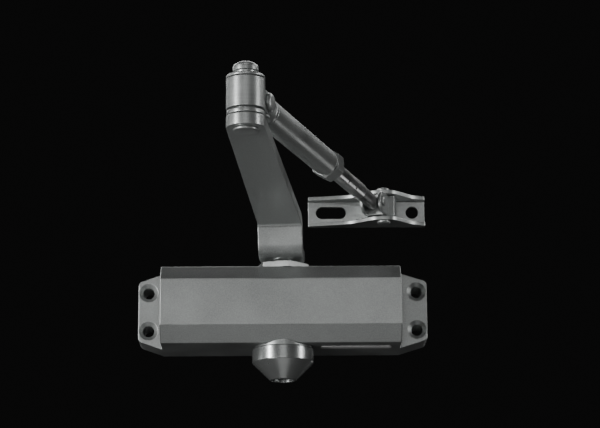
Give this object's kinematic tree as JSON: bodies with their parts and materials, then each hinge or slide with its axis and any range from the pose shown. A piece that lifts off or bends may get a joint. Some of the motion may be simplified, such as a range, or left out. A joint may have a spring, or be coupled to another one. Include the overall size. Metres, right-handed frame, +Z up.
{
  "type": "door closer",
  "caption": "Surface-mounted door closer: bevelled casing with four screw lugs, sprung spindle with a cranked main arm, and an adjustable forearm ending in a frame bracket.",
  "frame": {"origin": "centre of the casing's back face, the face that is screwed to the door", "axes": "+X along the casing to its adjusting-screw end, +Y out of the casing's back into the door, +Z up along the spindle towards the arm"},
  "size_m": [0.1432, 0.2035, 0.1037],
  "materials": {
    "silver_paint": "silver paint with a fine sparkle on a die casting",
    "satin_steel": "satin silver",
    "zinc_plate": "bright zinc plate",
    "chrome_plate": "bright",
    "dark_steel": "plain turned steel",
    "spring_steel": "oiled spring wire",
    "cap_plastic": "silver, satin",
    "black_rubber": "matt",
    "brass": "turned",
    "label_film": "blank silver film"
  },
  "bodies": {
    "housing": {"closer_body": "silver_paint", "right_end_plug": "satin_steel", "left_end_plug": "satin_steel", "right_plug_ring": "black_rubber", "left_plug_ring": "black_rubber", "upper_gland_nut": "zinc_plate", "upper_bearing": "brass", "upper_spindle_seal": "black_rubber", "lower_gland_nut": "zinc_plate", "lower_bearing": "brass", "lower_spindle_seal": "black_rubber", "spindle_cover_cap": "cap_plastic", "blank_label": "label_film", "closing_spring": "spring_steel"},
    "closing_screw": {"closing_speed_screw": "brass"},
    "latching_screw": {"latching_speed_screw": "brass"},
    "piston_group": {"piston": "dark_steel", "piston_ring": "black_rubber", "check_ball": "chrome_plate", "check_ball_retainer": "brass"},
    "arm": {"pinion_spindle": "zinc_plate", "main_arm": "satin_steel", "arm_washer": "zinc_plate", "arm_screw": "zinc_plate", "elbow_pin": "satin_steel", "elbow_ring": "satin_steel", "elbow_top_washer": "satin_steel"},
    "elbow": {"elbow_sleeve": "satin_steel", "elbow_rivet": "satin_steel"},
    "forearm": {"forearm_fitting": "satin_steel", "forearm_tube": "satin_steel", "adjuster_nut": "satin_steel"},
    "rod": {"adjusting_rod": "chrome_plate", "rod_eye": "dark_steel"},
    "swivel": {"swivel_block": "zinc_plate", "swivel_pin": "zinc_plate"},
    "shoe": {"bracket": "zinc_plate", "pivot_rivet": "zinc_plate"}
  },
  "joints": [
    {"name": "spindle_turn", "type": "hinge", "parent": "housing", "child": "arm", "pos_m": [0, -0.022, 0], "axis": [0, 0, 1], "range_deg": [0, 150], "stiffness_Nm_per_rad": 1.2, "springref_deg": -57.3},
    {"name": "piston_slide", "type": "slide", "parent": "housing", "child": "piston_group", "axis": [1, 0, 0], "range_m": [0, 0.01575], "deforming": ["closing_spring"]},
    {"name": "elbow_turn", "type": "hinge", "parent": "arm", "child": "elbow", "pos_m": [-0.01517, -0.19534, 0.054], "axis": [0, 0, 1], "range_deg": [-150, 120]},
    {"name": "forearm_tilt", "type": "hinge", "parent": "elbow", "child": "forearm", "pos_m": [-0.01089, -0.18306, 0.054], "axis": [0.9444, -0.3289, 0], "range_deg": [-3, 15]},
    {"name": "rod_adjust", "type": "slide", "parent": "forearm", "child": "rod", "axis": [0.3289, 0.9444, 0], "range_m": [-0.012, 0.02]},
    {"name": "swivel_tilt", "type": "hinge", "parent": "rod", "child": "swivel", "pos_m": [0.04502, -0.02252, 0.054], "axis": [0.9444, -0.3289, 0], "range_deg": [-12, 12]},
    {"name": "shoe_turn", "type": "hinge", "parent": "swivel", "child": "shoe", "pos_m": [0.05069, -0.01443, 0.054], "axis": [0, 0, 1], "range_deg": [-60, 60]},
    {"name": "closing_speed_turn", "type": "hinge", "parent": "housing", "child": "closing_screw", "pos_m": [0.05, -0.0235, 0.0143], "axis": [1, 0, 0], "range_deg": [-180, 180]},
    {"name": "latching_speed_turn", "type": "hinge", "parent": "housing", "child": "latching_screw", "pos_m": [0.05, -0.0235, -0.0143], "axis": [1, 0, 0], "range_deg": [-180, 180]}
  ],
  "couplings": [
    {"joint": "piston_slide", "follows": "spindle_turn", "m_per_rad": 0.006}
  ]
}
